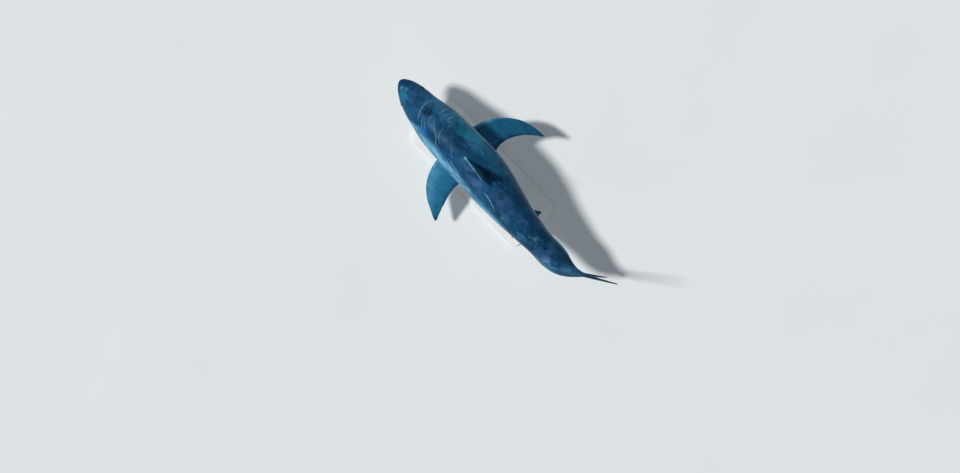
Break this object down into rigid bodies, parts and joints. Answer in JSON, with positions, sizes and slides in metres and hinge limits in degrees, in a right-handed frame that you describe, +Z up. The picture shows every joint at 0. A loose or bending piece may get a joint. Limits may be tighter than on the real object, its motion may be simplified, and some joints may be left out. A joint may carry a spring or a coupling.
{
  "type": "great white shark display model",
  "caption": "Still, life-size great white shark in a swimming pose, mouth slightly open and tail turned, held level on a flat base by short steel rods.",
  "frame": {"origin": "centre of the bounding box, on the floor under the stand's base", "axes": "the snout points along -Y, the shark's left side is +X, +Z is up"},
  "size_m": [1.8498, 3.8918, 1.5769],
  "materials": {
    "skin": "damp satin hide, slate blue above and off-white below",
    "gum": "wet gloss gum",
    "mouth": "wet satin mouth lining",
    "teeth": "enamel gloss",
    "eye": "wet gloss, nearly black",
    "stand_base": "satin painted board",
    "stand_steel": "brushed"
  },
  "bodies": {
    "root": {"head": "skin", "lower_jaw": "skin", "gill_region": "skin", "trunk": "skin", "rear_trunk": "skin", "tail_stalk": "skin", "first_dorsal_fin": "skin", "second_dorsal_fin": "skin", "anal_fin": "skin", "caudal_upper_lobe": "skin", "caudal_lower_lobe": "skin", "pectoral_fin_left": "skin", "pectoral_fin_right": "skin", "pelvic_fin_left": "skin", "pelvic_fin_right": "skin", "upper_gum_and_teeth": "teeth", "lower_gum_and_teeth": "teeth", "eye_left": "eye", "eye_right": "eye", "stand_base": "stand_base", "stand_flange_front": "stand_steel", "stand_rod_front": "stand_steel", "stand_cup_front": "stand_steel", "stand_flange_rear": "stand_steel", "stand_rod_rear": "stand_steel", "stand_cup_rear": "stand_steel"}
  },
  "joints": []
}
